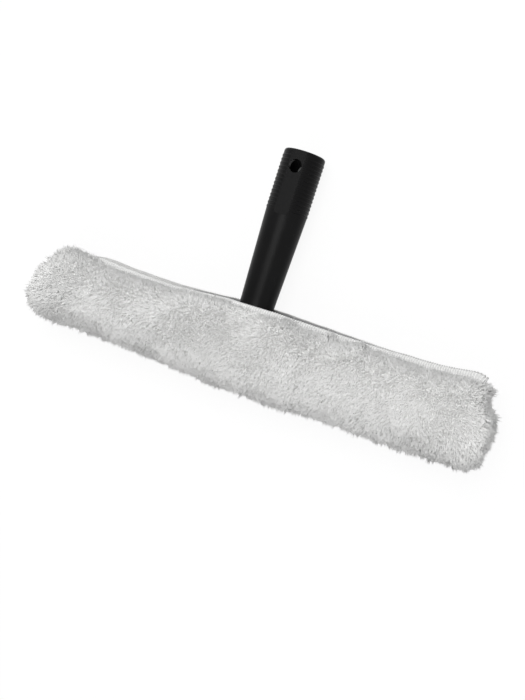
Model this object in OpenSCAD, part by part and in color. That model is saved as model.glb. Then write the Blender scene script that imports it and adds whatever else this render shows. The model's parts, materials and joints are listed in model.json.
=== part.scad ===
// Window washer: a tubular cross-bar on a moulded handle, inside a white pile sleeve.
// Each piece is drawn on the tool's own axes: X along the bar, Z up the handle, Y from front to back,
// with zero on the middle of the bar. lay_down() then puts the tool on its back on the floor.

/* [Handle] */
// Height of the handle's end above the bar's axis
handle_top = 143; // [130:1:170]
// Wall of the grip around the socket's mouth
grip_wall = 4; // [2.6:0.1:4.5]
// How much narrower the grip is at its lower end
grip_draft = 0.1; // [0:0.1:1]
// Height above the bar's axis where the grip's taper ends in the straight neck
taper_low_z = 34; // [34:1:60]
// Diameter of the neck
neck_d = 25.2; // [22:0.1:26]
// Radius of the rounded edge at the handle's end
end_round = 2; // [0.5:0.1:2.4]

/* [Grip ribs and panels] */
// Number of ribs on the grip
rib_count = 14; // [10:1:16]
// Distance from one rib to the next
rib_pitch = 2.85; // [2.4:0.05:3]
// Width of a rib at its foot
rib_w = 1.7; // [1:0.1:2]
// Height of a rib
rib_h = 0.3; // [0.2:0.05:0.8]
// Distance from the handle's end to the first rib
rib_start = 5.5; // [4:0.5:8]
// Distance from the last rib to the start of the taper
rib_tail = 0.6; // [0:0.1:2]
// Depth of the flat panels at the front and the back, below the round of the grip
panel_cut = 0.9; // [0.6:0.1:1.6]
// Reach of the panels below the start of the taper
panel_tail = 2.5; // [0:0.5:8]

/* [Pole socket and hanging hole] */
// Diameter of the socket's straight mouth
socket_d = 22; // [19:0.1:23]
// Length of the socket's straight mouth
socket_len = 48; // [30:1:54]
// Diameter of the socket at the end of its cone
socket_tip_d = 17; // [14:0.1:18.5]
// Length of the socket's cone
socket_cone_len = 44; // [20:1:56]
// Lead-in around the socket's mouth
socket_lead = 0.8; // [0.3:0.1:1]
// Diameter of the hanging hole
hang_d = 9.6; // [6:0.1:11]
// Distance from the handle's end to the middle of the hanging hole
hang_drop = 11.8; // [8:0.1:14]

/* [Tee head] */
// Length of the collar that holds the bar
collar_len = 62; // [48:1:80]
// Wall of the collar
collar_wall = 2.8; // [2:0.1:3.2]
// Chamfer at the collar's ends
collar_chamfer = 1; // [0.4:0.1:1.6]
// Width of the flat seat that stands around each screw hole
seat_rim = 0.9; // [0.4:0.1:1.2]
// Thickness of the web on each side of the neck
web_t = 5; // [3:0.1:8]
// Distance from the web's foot to the collar's end
web_end = 3; // [1:0.5:8]
// Height of the web above the bar's axis, at the neck
web_top = 24; // [18:0.5:24]

/* [Bar] */
// Length of the tube
bar_len = 324; // [260:1:420]
// Outer diameter of the tube
bar_d = 22; // [19:0.1:23]
// Wall of the tube
bar_wall = 1.5; // [1:0.1:2.5]
// Radial clearance between the tube and the collar
bar_fit = 0.05; // [0.02:0.01:0.15]
// Thickness of the plug's flange
plug_flange = 2.5; // [1.5:0.1:4]
// Length of the plug inside the tube
plug_len = 14; // [8:0.5:24]
// Radial clearance of the plug's body in the tube
plug_fit = 0.3; // [0.1:0.05:0.5]
// Rounding of the plug's edges
plug_round = 0.9; // [0.4:0.1:1.2]
// Number of crush ribs on a plug
plug_ribs = 6; // [4:1:8]
// Width of a crush rib
plug_rib_w = 1; // [0.6:0.1:2]
// Distance from the plug's inner end to its crush ribs
plug_rib_in = 2; // [1:0.5:4]
// Distance of each screw from the collar's end
screw_in = 9; // [6:0.5:12]
// Diameter of the screw's shank
screw_d = 3.5; // [2.5:0.1:4]
// Diameter of the screw's head
screw_head_d = 6.6; // [5:0.1:7]
// Diameter of the head's flat top
screw_top_d = 5; // [3:0.1:6]
// Height of the screw's head
screw_head_h = 1.8; // [1:0.1:2]
// Length of the screw under its head
screw_len = 9; // [7:0.5:12]
// Play of the screw's shank in its holes, on the diameter
screw_fit = 0.1; // [0.05:0.05:0.4]

/* [Sleeve] */
// Room between each end of the bar and the end seam of the sleeve
end_room = 3.5; // [1:0.5:10]
// Length of each end panel beyond its seam
end_len = 12.5; // [7:0.5:16]
// Thickness of the cloth with its pile
pile_t = 14.6; // [10:0.1:20]
// Rise of the two panels above the hollow, up to the edge of the cloth
rise = 11.6; // [9:0.1:16]
// How far the soft back of the sleeve is pressed flat by the floor
pressed = 1.4; // [0.5:0.1:3]
// How much lower the pile hangs at its lowest place than at its ends
sag = 2.8; // [0:0.1:5]
// Distance of that place from the handle's axis, to the right
sag_x = 35; // [-60:1:60]
// Depth of the soft swells in the pile
swell = 1.1; // [0:0.1:2]
// How much the sleeve is drawn in at its end seams, as a share of its depth
depth_draw = 0.16; // [0:0.01:0.2]
// The same, as a share of its height
height_draw = 0.06; // [0:0.01:0.1]
// How much smaller the end panels start than the cloth beside them
end_step = 0.01; // [0:0.005:0.04]
// Roundness of the end panels, smaller is flatter
end_power = 0.55; // [0.3:0.05:0.7]
// Squareness of the sleeve's section at its sides and at its top, 1 is round
side_power = 0.8; // [0.6:0.05:1]
top_power = 0.85; // [0.6:0.05:1]
// Clearance of the cloth around the pieces inside it
cloth_clear = 0.35; // [0.3:0.05:1]
// Play of the bar in the sleeve, up and down
bar_play = 9; // [4:0.5:12]

/* [Hems and closure] */
// Height of the hem tape
hem_h = 5.6; // [4:0.1:8]
// Thickness of the hem tape
hem_t = 2.2; // [1.5:0.1:3]
// How far the hem tape stands above the cloth
hem_proud = 3.6; // [2:0.1:5]
// Distance from the handle's axis to where the two hems meet
hem_meet = 58; // [46:1:90]
// Distance from each end seam to the end of the hem
hem_end = 1; // [0:0.5:6]
// Height of the hook and loop strips
strip_h = 9; // [6:0.5:10]
// Thickness of each strip
strip_t = 1.1; // [0.8:0.1:2]
// Gap between the hook strip and the loop strip
strip_gap = 0.1; // [0.1:0.05:0.4]
// Distance from the point where the hems meet to the start of the strips
strip_start = 2; // [1:0.5:10]
// Distance from the end of the hem to the end of the strips
strip_end = 3; // [1:0.5:10]
// Distance from the top of the hem down to the strips
strip_drop = 2; // [0.5:0.1:3]
// Gap between a strip and the cloth behind it
strip_clear = 0.1; // [0.1:0.05:0.4]

/* [Hidden] */
$fn = 64;

// Handle
socket_r = socket_d / 2;
socket_tip_r = socket_tip_d / 2;
grip_end_r = socket_r + grip_wall;
grip_low_r = grip_end_r - grip_draft / 2;
neck_r = neck_d / 2;
taper_top_z = handle_top - rib_start - (rib_count - 1) * rib_pitch - rib_w / 2 - rib_tail;
socket_floor_z = handle_top - socket_len - socket_cone_len;
hang_z = handle_top - hang_drop;
panel_y = grip_end_r - panel_cut;
panel_z = taper_top_z - panel_tail;

// Bar
bar_r = bar_d / 2;
collar_bore_r = bar_r + bar_fit;
collar_r = collar_bore_r + collar_wall;
plug_r = bar_r - bar_wall - plug_fit;
web_reach = collar_len / 2 - web_end;
screw_x = collar_len / 2 - screw_in;

// Sleeve
half_cloth = bar_len / 2 + plug_flange + end_room;
hollow_r = bar_r + cloth_clear;
half_depth = hollow_r + pile_t;
cloth_top = hollow_r + bar_play / 2 + rise;
cloth_low = -hollow_r - bar_play / 2 - pile_t;
mid_z = (cloth_top + cloth_low) / 2;
hem_low_z = cloth_top + hem_proud - hem_h;
// Half the room between the two hems where they are closed
closed_y = strip_gap / 2 + strip_t + strip_clear;
open_y = neck_r + cloth_clear;
half_hem = half_cloth - hem_end;
strip_z = hem_low_z + hem_h - strip_drop - strip_h;
strip_x = hem_meet + strip_start;
strip_len = half_hem - strip_end - strip_x;
// Points around a ring of the sleeve, and rings from the left end seam to the right one
ring_n = 40;
sections = 32;

// Pose on the floor: the tool rests on the pressed back of its sleeve and on the corner
// where the back panel of the grip runs into the rounded end
corner = min(panel_cut, end_round);
rest_z = handle_top - end_round + sqrt(pow(end_round, 2) - pow(end_round - corner, 2));
lean = atan((half_depth - pressed - panel_y) / (rest_z - mid_z));
lift = rest_z * sin(lean) + panel_y * cos(lean);

// Reach of a point along the floor, from the bar's axis towards the handle's end
function floor_reach(y, z) = z * cos(lean) - y * sin(lean);
top_reach = floor_reach(end_round - grip_end_r, handle_top);
low_reach = min([for (i = [0:sections], p = cloth_ring(i)) floor_reach(p[1], p[2])]);
back_y = -(top_reach + low_reach) / 2;

module lay_down() {
  translate([0, back_y, lift]) rotate([-90 - lean, 0, 0]) children();
}

// Radius of the bare grip at a height above the bar's axis
function grip_r(z) =
  z >= taper_top_z ? grip_low_r + (grip_end_r - grip_low_r) * (z - taper_top_z) / (handle_top - taper_top_z)
  : z >= taper_low_z ? neck_r + (grip_low_r - neck_r) * (z - taper_low_z) / (taper_top_z - taper_low_z)
  : neck_r;

// One rib of the grip as a step in the outline, read from the top down
function rib_points(z) = [
  [grip_r(z + rib_w / 2), z + rib_w / 2],
  [grip_r(z) + rib_h, z + rib_w / 4],
  [grip_r(z) + rib_h, z - rib_w / 4],
  [grip_r(z - rib_w / 2), z - rib_w / 2]
];

// Outline of the handle: end, ribs, taper, neck
module handle_outline() {
  polygon(concat(
    [[0, handle_top]],
    [for (a = [90:-18:0])
      [grip_end_r - end_round * (1 - cos(a)), handle_top - end_round * (1 - sin(a))]],
    [for (i = [0:rib_count - 1], p = rib_points(handle_top - rib_start - i * rib_pitch)) p],
    [[grip_low_r, taper_top_z], [neck_r, taper_low_z], [neck_r, 0], [0, 0]]));
}

// Pole socket: a lead-in, a straight mouth, then a cone that grips the pole's tip
module pole_socket() {
  translate([0, 0, handle_top - socket_lead])
    cylinder(h = 2 * socket_lead, r1 = socket_r, r2 = socket_r + 2 * socket_lead);
  translate([0, 0, handle_top - socket_len]) cylinder(h = socket_len + 1, r = socket_r);
  translate([0, 0, socket_floor_z])
    cylinder(h = socket_cone_len, r1 = socket_tip_r, r2 = socket_r);
}

// Flat panels at the front and the back, between the two sets of ribs
module panel_cuts() {
  for (side = [0, 180]) rotate([0, 0, side])
    translate([-grip_end_r, panel_y, panel_z])
      cube([2 * grip_end_r, panel_cut + rib_h + 1, handle_top - panel_z + 1]);
}

// Web between the collar and both sides of the neck
module head_web() {
  foot = collar_r - collar_chamfer;
  translate([0, web_t / 2, 0]) rotate([90, 0, 0])
    linear_extrude(web_t) polygon([[-web_reach, 0], [-web_reach, foot], [-neck_r, web_top],
                                   [neck_r, web_top], [web_reach, foot], [web_reach, 0]]);
}

// Collar around the bar, with chamfered ends
module collar() {
  half = collar_len / 2;
  rotate([0, 90, 0]) rotate_extrude()
    polygon([[0, -half], [collar_r - collar_chamfer, -half], [collar_r, collar_chamfer - half],
             [collar_r, half - collar_chamfer], [collar_r - collar_chamfer, half], [0, half]]);
}

// Screw places under the collar
module at_screws() {
  for (x = [-screw_x, screw_x]) translate([x, 0, -collar_r]) children();
}

module handle() {
  color("#1d1d1f") lay_down() difference() {
    union() {
      rotate_extrude() handle_outline();
      collar();
      at_screws() cylinder(h = collar_wall, d = screw_head_d + 2 * seat_rim);
      head_web();
    }
    panel_cuts();
    pole_socket();
    translate([0, grip_end_r, hang_z]) rotate([90, 0, 0]) cylinder(h = 2 * grip_end_r, d = hang_d);
    translate([-collar_len / 2 - 1, 0, 0]) rotate([0, 90, 0]) cylinder(h = collar_len + 2, r = collar_bore_r);
    at_screws() translate([0, 0, -1]) cylinder(h = collar_wall + 2, d = screw_d + screw_fit);
  }
}

module crossbar() {
  color("#b9bcc0") lay_down() difference() {
    translate([-bar_len / 2, 0, 0]) rotate([0, 90, 0]) cylinder(h = bar_len, r = bar_r);
    translate([-bar_len / 2 - 1, 0, 0]) rotate([0, 90, 0]) cylinder(h = bar_len + 2, r = bar_r - bar_wall);
    at_screws() cylinder(h = collar_r, d = screw_d + screw_fit);
  }
}

// Plug with a rounded flange and crush ribs along its body
module end_plug(side) {
  color("#232325") lay_down() rotate([0, side * 90, 0]) translate([0, 0, bar_len / 2]) {
    rotate_extrude() polygon(concat(
      [[0, -plug_len], [plug_r - plug_round, -plug_len], [plug_r, plug_round - plug_len],
       [plug_r, 0], [bar_r, 0]],
      [for (a = [0:30:90])
        [bar_r - plug_round * (1 - cos(a)), plug_flange - plug_round * (1 - sin(a))]],
      [[0, plug_flange]]));
    for (i = [0:plug_ribs - 1]) rotate([0, 0, i * 360 / plug_ribs])
      translate([plug_r - plug_rib_w / 2, -plug_rib_w / 2, plug_rib_in - plug_len])
        cube([plug_rib_w / 2 + plug_fit - bar_fit, plug_rib_w, plug_len - plug_rib_in]);
  }
}

module end_plug_left() { end_plug(-1); }
module end_plug_right() { end_plug(1); }

module bar_screws() {
  color("#a7a9ad") lay_down() at_screws() {
    cylinder(h = screw_len, d = screw_d);
    translate([0, 0, -screw_head_h]) cylinder(h = screw_head_h, d1 = screw_top_d, d2 = screw_head_d);
  }
}

// Half the room between the hems at a distance from the handle: closed by the strips, open at the neck
function hem_y(x) =
  abs(x) >= hem_meet ? closed_y
  : closed_y + (open_y - closed_y) * pow(cos(90 * x / hem_meet), 2);

// Plan of the space between the two hems, grown sideways
module hem_plan(grow, half_len) {
  steps = 28;
  inner = min(hem_meet, half_len);
  side = [for (i = [-steps:steps]) let (x = inner * i / steps) [x, hem_y(x) + grow]];
  edge = concat([[-half_len, closed_y + grow]], side, [[half_len, closed_y + grow]]);
  polygon(concat(edge, [for (i = [len(edge) - 1:-1:0]) [edge[i][0], -edge[i][1]]]));
}

// Tape over one long edge of the cloth
module hem_tape(side) {
  color("#f4f4f2") lay_down() translate([0, 0, hem_low_z]) linear_extrude(hem_h) difference() {
    hem_plan(hem_t, half_hem);
    hem_plan(0, half_hem + 1);
    translate([-half_cloth, side < 0 ? 0 : -half_depth]) square([2 * half_cloth, half_depth]);
  }
}

module hem_tape_front() { hem_tape(-1); }
module hem_tape_back() { hem_tape(1); }

// One strip of the closure, behind the hem
module strip(end, side) {
  lay_down() translate([end > 0 ? strip_x : -strip_x - strip_len,
                        side > 0 ? strip_gap / 2 : -strip_gap / 2 - strip_t, strip_z])
    cube([strip_len, strip_t, strip_h]);
}

module hook_strip_left() { color("#e9e9e6") strip(-1, -1); }
module hook_strip_right() { color("#e9e9e6") strip(1, -1); }
module loop_strip_left() { color("#f2f2ef") strip(-1, 1); }
module loop_strip_right() { color("#f2f2ef") strip(1, 1); }

// Outer form of the sleeve: shoulders that rise to the hems, a round lower half, soft swells
function swell_at(x, a) =
  swell * (0.5 * sin(2.3 * x + 2 * a) + 0.3 * sin(4.1 * x - 3 * a + 40) + 0.2 * sin(6.7 * x + 5 * a));
function power(v, p) = sign(v) * pow(abs(v), p);
function low_edge(x) = cloth_low - sag * cos(90 * (x - sag_x) / half_cloth);
// A ring of the sleeve at x, its depth and height scaled. The shoulder is the flat at its top.
function sleeve_ring(x, ky, kz, shoulder, swells) = [
  for (i = [0:ring_n - 1])
    let (a = i * 360 / ring_n,
         s = 1 + swells * swell_at(x, a) / half_depth,
         flat = a < 180 ? shoulder : 0,
         reach = a < 180 ? cloth_top - mid_z : mid_z - low_edge(x))
    [x, ky * s * (sign(cos(a)) * flat + (half_depth - flat) * power(cos(a), side_power)),
     mid_z + kz * s * reach * power(sin(a), top_power)]
];

// Ring of the cloth: drawn in a little near the end seams
function cloth_ring(i) =
  let (u = 2 * i / sections - 1, x = u * half_cloth)
  sleeve_ring(x, 1 - depth_draw * pow(abs(u), 8), 1 - height_draw * pow(abs(u), 12),
              hem_y(x) + hem_t, 1);

// Solid through a list of rings, closed at both ends
module through_rings(rings) {
  n = len(rings);
  polyhedron(
    points = concat([for (r = rings, p = r) p], [[rings[0][0][0], 0, mid_z], [rings[n - 1][0][0], 0, mid_z]]),
    faces = concat(
      [for (j = [0:n - 2], i = [0:ring_n - 1], h = [0, 1])
        let (a = j * ring_n + i, b = j * ring_n + (i + 1) % ring_n, c = a + ring_n, d = b + ring_n)
        h == 0 ? [a, c, b] : [b, c, d]],
      [for (i = [0:ring_n - 1]) [n * ring_n, i, (i + 1) % ring_n]],
      [for (i = [0:ring_n - 1])
        [n * ring_n + 1, (n - 1) * ring_n + (i + 1) % ring_n, (n - 1) * ring_n + i]]));
}

// Hollow inside the cloth: the bar with its play, the tee head, the screw heads
module sleeve_hollow() {
  half = bar_len / 2 + plug_flange + cloth_clear;
  for (z = [-bar_play / 2, bar_play / 2]) translate([-half, 0, z]) rotate([0, 90, 0])
    cylinder(h = 2 * half, r = hollow_r);
  translate([-half, -hollow_r, -bar_play / 2]) cube([2 * half, 2 * hollow_r, bar_play]);
  reach = collar_len / 2 + cloth_clear;
  translate([-reach, 0, 0]) rotate([0, 90, 0]) cylinder(h = 2 * reach, r = collar_r + cloth_clear);
  translate([-reach, -collar_r, -collar_r - screw_head_h - cloth_clear])
    cube([2 * reach, 2 * collar_r, collar_r]);
}

// Everything above the floor
module above_floor() {
  translate([-half_cloth - end_len - 50, -handle_top, 0])
    cube([2 * (half_cloth + end_len + 50), 2 * handle_top, 4 * half_depth]);
}

module sleeve_cloth() {
  color("#e4e4e1") intersection() {
    lay_down() difference() {
      through_rings([for (i = [0:sections]) cloth_ring(i)]);
      sleeve_hollow();
      linear_extrude(cloth_top + hem_h) hem_plan(0, half_cloth + 1);
      translate([0, 0, hem_low_z - cloth_clear]) linear_extrude(2 * hem_h)
        hem_plan(hem_t + cloth_clear, half_cloth + 1);
    }
    above_floor();
  }
}

// End panel: a soft dome that starts at the seam
module sleeve_end(side) {
  color("#e4e4e1") intersection() {
    lay_down() through_rings([for (a = side > 0 ? [0:15:75] : [-75:15:0])
      let (x = side * (half_cloth + cloth_clear) + end_len * sin(a) / sin(75))
      sleeve_ring(x, (1 - depth_draw - end_step) * pow(cos(a), end_power),
                  (1 - height_draw - end_step) * pow(cos(a), end_power), closed_y + hem_t, 0)]);
    above_floor();
  }
}

module sleeve_end_left() { sleeve_end(-1); }
module sleeve_end_right() { sleeve_end(1); }

handle();
crossbar();
end_plug_left();
end_plug_right();
bar_screws();
sleeve_cloth();
sleeve_end_left();
sleeve_end_right();
hem_tape_front();
hem_tape_back();
hook_strip_left();
hook_strip_right();
loop_strip_left();
loop_strip_right();
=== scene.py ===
import json
import math
import random

import bpy
import numpy as np
from mathutils import Matrix, Vector, noise


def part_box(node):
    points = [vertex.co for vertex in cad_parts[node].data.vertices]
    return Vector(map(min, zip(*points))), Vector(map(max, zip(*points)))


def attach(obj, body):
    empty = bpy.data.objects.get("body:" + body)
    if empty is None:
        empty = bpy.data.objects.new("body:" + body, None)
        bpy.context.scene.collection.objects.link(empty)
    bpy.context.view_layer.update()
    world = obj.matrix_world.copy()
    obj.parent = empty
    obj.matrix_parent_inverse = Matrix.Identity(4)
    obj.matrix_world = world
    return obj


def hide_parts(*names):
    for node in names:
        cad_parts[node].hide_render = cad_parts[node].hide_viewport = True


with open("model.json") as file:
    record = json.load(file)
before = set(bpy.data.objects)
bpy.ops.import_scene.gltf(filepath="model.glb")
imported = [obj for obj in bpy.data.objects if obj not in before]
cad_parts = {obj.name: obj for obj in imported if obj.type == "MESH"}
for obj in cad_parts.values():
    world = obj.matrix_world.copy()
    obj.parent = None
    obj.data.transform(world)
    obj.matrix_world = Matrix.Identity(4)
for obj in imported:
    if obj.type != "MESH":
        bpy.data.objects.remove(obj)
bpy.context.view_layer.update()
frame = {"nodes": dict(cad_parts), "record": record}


# Handle
# One black polypropylene moulding. The mould gives its grip a fine spark-eroded grain, and its shine
# varies a little in soft blotches.
mounts = {m["name"]: m for m in frame["record"]["mounts"]}
ALONG = Vector((1, 0, 0))
UP = Vector(mounts["pole_socket"]["axis"]).normalized()
BACK = -Vector(mounts["hanging_hole"]["axis"]).normalized()
bar_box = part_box("crossbar")
MIDDLE = (bar_box[0] + bar_box[1]) / 2


def at(x, y, z):
    """Place on the tool's own axes, in mm: X along the bar, Y from front to back, Z up the handle."""
    return MIDDLE + (ALONG * x + BACK * y + UP * z) / 1000


def add(tree, kind, inputs=(), **settings):
    """Puts a node in a tree. An input takes a value, or the output that feeds it."""
    made = tree.nodes.new(kind)
    for key, value in settings.items():
        setattr(made, key, value)
    for key, value in dict(inputs).items():
        if isinstance(value, bpy.types.NodeSocket):
            tree.links.new(value, made.inputs[key])
        else:
            made.inputs[key].default_value = value
    return made


def noise_at(tree, size, detail=3.0, stretch=(1, 1, 1)):
    """Noise whose blotches are about size metres across, fixed to the piece."""
    place = add(tree, "ShaderNodeTexCoord")
    turned = add(tree, "ShaderNodeMapping", {"Vector": place.outputs["Object"], "Scale": stretch})
    return add(tree, "ShaderNodeTexNoise",
               {"Vector": turned.outputs["Vector"], "Scale": 0.6 / size, "Detail": detail})


def finish(name, dark, light, rough, blotch, grain, depth, stretch=(1, 1, 1), **sockets):
    """Material that varies between two colours and two roughnesses in blotches, with a grain."""
    made = bpy.data.materials.new(name)
    made.use_nodes = True
    tree = made.node_tree
    shader = tree.nodes["Principled BSDF"]
    for key, value in sockets.items():
        shader.inputs[key.replace("_", " ")].default_value = value
    wide = noise_at(tree, blotch, 4.0, stretch)
    colour = add(tree, "ShaderNodeValToRGB", {"Fac": wide.outputs["Fac"]})
    for stop, place, value in zip(colour.color_ramp.elements, (0.32, 0.68), (dark, light)):
        stop.position, stop.color = place, (*value, 1)
    sheen = add(tree, "ShaderNodeMapRange", {"Value": wide.outputs["Fac"], "From Min": 0.3,
                "From Max": 0.7, "To Min": rough[0], "To Max": rough[1]})
    fine = noise_at(tree, grain, 2.0, stretch)
    bump = add(tree, "ShaderNodeBump", {"Height": fine.outputs["Fac"], "Distance": depth})
    tree.links.new(colour.outputs["Color"], shader.inputs["Base Color"])
    tree.links.new(sheen.outputs["Result"], shader.inputs["Roughness"])
    tree.links.new(bump.outputs["Normal"], shader.inputs["Normal"])
    return made


handle_black = finish("handle_black", (0.0012, 0.0012, 0.0013), (0.0022, 0.0022, 0.0024),
                      (0.34, 0.40), 0.018, 0.0005, 0.00005, Specular_IOR_Level=0.09)
frame["nodes"]["handle"].material_slots[0].material = handle_black


# Cross-bar with its end plugs and screws
# A drawn aluminium tube with fine lines along it, two black moulded plugs in its ends, and two
# zinc-plated pan-head screws that hold it in the handle's tee head. The sleeve covers all of them.
bar_aluminium = finish("bar_aluminium", (0.62, 0.63, 0.65), (0.74, 0.75, 0.77), (0.24, 0.38),
                       0.02, 0.0004, 0.00002, stretch=(0.04, 1, 1), Metallic=1.0)
plug_black = finish("plug_black", (0.012, 0.012, 0.013), (0.02, 0.02, 0.021), (0.5, 0.62),
                    0.006, 0.0004, 0.00004)
screw_steel = finish("screw_steel", (0.5, 0.5, 0.53), (0.64, 0.64, 0.66), (0.28, 0.42),
                     0.002, 0.0003, 0.00001, Metallic=1.0)
frame["nodes"]["crossbar"].material_slots[0].material = bar_aluminium
for plug in ("end_plug_left", "end_plug_right"):
    frame["nodes"][plug].material_slots[0].material = plug_black
frame["nodes"]["bar_screws"].material_slots[0].material = screw_steel


# Sleeve cloth
# A knitted backing with a dense white pile, wrapped round the bar from one hem to the other. This
# piece is the backing with the matted roots of the pile. The tufts stand on it.
HALF_CLOTH = 168.0
END_GAP = 0.35     # from the cloth to the panel that closes its end
END_LEN = 12.5     # and how far that panel stands out
HALF_DEPTH = 25.95
CLOTH_TOP = 27.45
CLOTH_LOW = -30.45
MID_Z = (CLOTH_TOP + CLOTH_LOW) / 2
SAG = 2.8          # the lower edge hangs down by this
SAG_X = 35.0       # the most here
SWELL = 1.1        # soft swells, as waves with a share, a pace along x, a pace round it and a start
SWELLS = [(0.5, 2.3, 2, 0), (0.3, 4.1, -3, 40), (0.2, 6.7, 5, 0)]
ROUND_DEEP, ROUND_HIGH = 0.8, 0.85
DEPTH_DRAW = 0.16  # the end seams draw the cloth in by these shares
HEIGHT_DRAW = 0.06
HEM_T = 2.2
CLOSED_Y = 1.25
OPEN_Y = 12.95
HEM_MEET = 58.0
TUCK_X = -140.0    # left of here the sleeve is pushed together a little
TUCK_Z = [-30, -24, -14, 0, 14, 26, 30]      # by these shares, from its lower edge to its top
TUCK = [0.94, 0.92, 0.87, 0.80, 0.81, 0.85, 0.91]
PUSH_Z = [-30, -24, -16, -6, 2, 10, 16, 22, 28]   # and its left end is pushed in by this
PUSH = [2.6, 3.2, 2.0, 2.0, 2.8, 3.4, 2.6, 1.4, 0.0]
BULGE_Z = [-30, -20, -2, 10, 16, 22, 26, 30]  # and its right end bulges by these
BULGE = [1.0, 1.06, 1.22, 1.02, 0.5, 0.5, 0.9, 1.0]
SHEAR_X = 130.0    # right of here its lower edge is pulled out, so the end's seam slants
SHEAR_Z = [-30, -20, -10, 5, 12, 20]
SHEAR = [12.0, 12.0, 11.5, 8.5, 5.0, 0.5]
CORNER_X = 168.0   # right of here its lower edge comes up in a round corner
CORNER_RUN = 20.0
CORNER_UP = 0.9
DROOP_X = -151.0   # and left of here its top falls off in a round corner
DROOP_RUN = 34.0
DROOP = 0.85
ROOTS_IN = 2.9     # from the tips of the pile in to its matted roots
EDGE_IN = 1.4      # the same at the hems, where the pile is thin
CLOTH_T = 6.0      # backing and matted roots together
# Partings in the pile of the front, as lines of points (x, z) that the photograph shows
PARTINGS = [[(66.8, 26.9), (59.8, 19.7), (53.3, 12.6), (48.7, 8.9)],
            [(89.2, 24.4), (80.4, 18.7), (69.1, 13.5)],
            [(99.0, 16.4), (97.5, 6.1), (91.9, -4.9), (83.7, -12.7)]]
PARTING_W = [2.4, 2.0, 1.2]
PARTING_IN = [2.8, 2.2, 1.0]
# and short gaps between the locks
GAPS = [[(-142.4, -1.4), (-141.6, -2.8)], [(-80.6, -8.1), (-78.1, -8.5)],
        [(-64.6, -12.4), (-62.1, -12.6)], [(9.7, -11.0), (15.1, -12.8)],
        [(-14.8, 15.8), (-13.5, 12.5)], [(51.5, -13.7), (55.2, -13.9)],
        [(75.3, -17.3), (76.7, -14.0)], [(104.5, 16.8), (105.5, 14.4)],
        [(134.6, 19.7), (134.8, 12.4)], [(153.1, -8.6), (158.6, -11.7)]]
GAP_W = 0.9
GAP_IN = 2.0


def hem_y(x):
    """Half the room between the two hems: closed by the strips, open round the handle."""
    if abs(x) >= HEM_MEET:
        return CLOSED_Y
    return CLOSED_Y + (OPEN_Y - CLOSED_Y) * math.cos(math.radians(90 * x / HEM_MEET)) ** 2


def power(value, p):
    """Power of a value that keeps its sign."""
    return math.copysign(abs(value) ** p, value)


# How much higher the sleeve's top line and lower line lie along its length, as the cloth has
# settled. Both moves come in with the height from the middle, over these runs
TOP_FROM, TOP_RUN = 4, 20
LOW_FROM, LOW_RUN = -4, 22
TOP_LINE_X = [-170, -160, -150, -130, -110, -90, -60, -50, -30,
              -20, 20, 50, 100, 130, 140, 150, 160, 170]
TOP_LINE_Z = [0.8, 1.2, -0.8, -1.8, -3.0, -3.8, -4.0, -3.2, -1.8,
              -0.8, 0.0, -0.5, -1.2, -0.2, 0.4, 1.8, 3.3, 3.6]
LOW_LINE_X = [-170, -130, -100, -60, -30, -10, 10, 50, 90, 110, 130, 160, 175]
LOW_LINE_Z = [2.6, 2.8, 2.6, 3.5, 2.6, 0.0, 1.2, 1.2, 3.0, 1.9, 3.0, 0.2, -1.0]


def settle(x, y, z):
    """Moves a point of the soft pieces as the cloth has settled on the bar."""
    rise = max(0.0, min(1.0, (z - TOP_FROM) / TOP_RUN))
    sink = max(0.0, min(1.0, (LOW_FROM - z) / LOW_RUN))
    z += (float(np.interp(x, TOP_LINE_X, TOP_LINE_Z)) * rise * rise * (3 - 2 * rise)
          + float(np.interp(x, LOW_LINE_X, LOW_LINE_Z)) * sink * sink * (3 - 2 * sink))
    if x < DROOP_X and z > MID_Z:
        over = min(1.0, (DROOP_X - x) / DROOP_RUN)
        z = MID_Z + (z - MID_Z) * (1 - DROOP * over ** 1.8)
    if x < TUCK_X:
        x = (TUCK_X + (x - TUCK_X) * float(np.interp(z, TUCK_Z, TUCK))
             + float(np.interp(z, PUSH_Z, PUSH)) * min(1.0, (TUCK_X - x) / (HALF_CLOTH + TUCK_X)))
    pulled = float(np.interp(z, SHEAR_Z, SHEAR))
    if x > HALF_CLOTH:
        bulge = float(np.interp(z, BULGE_Z, BULGE)) - pulled / (END_LEN + END_GAP)
        x = HALF_CLOTH + pulled + (x - HALF_CLOTH) * bulge
    elif x > SHEAR_X:
        x += pulled * ((x - SHEAR_X) / (HALF_CLOTH - SHEAR_X)) ** 2
    if x > CORNER_X and z < MID_Z:
        z = MID_Z + (z - MID_Z) * (1 - CORNER_UP * min(1.0, (x - CORNER_X) / CORNER_RUN) ** 3)
    return x, y, z


def skin(x, a, deep, high, shoulder, swells):
    """Point of the sleeve's outer form at x, turned by a degrees from its back, in mm."""
    turn = math.radians(a)
    swell = SWELL * sum(share * math.sin(math.radians(along * x + around * a + start))
                        for share, along, around, start in SWELLS)
    size = 1 + swells * swell / HALF_DEPTH
    upper = (a % 360) < 180
    flat = shoulder if upper else 0
    low = CLOTH_LOW - SAG * math.cos(math.pi / 2 * (x - SAG_X) / HALF_CLOTH)
    reach = CLOTH_TOP - MID_Z if upper else MID_Z - low
    side = math.copysign(1, math.cos(turn)) if abs(math.cos(turn)) > 1e-9 else (-1 if a < 180 else 1)
    return settle(x, deep * size * (side * flat + (HALF_DEPTH - flat) * power(math.cos(turn), ROUND_DEEP)),
                  MID_Z + high * size * reach * power(math.sin(turn), ROUND_HIGH))


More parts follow.
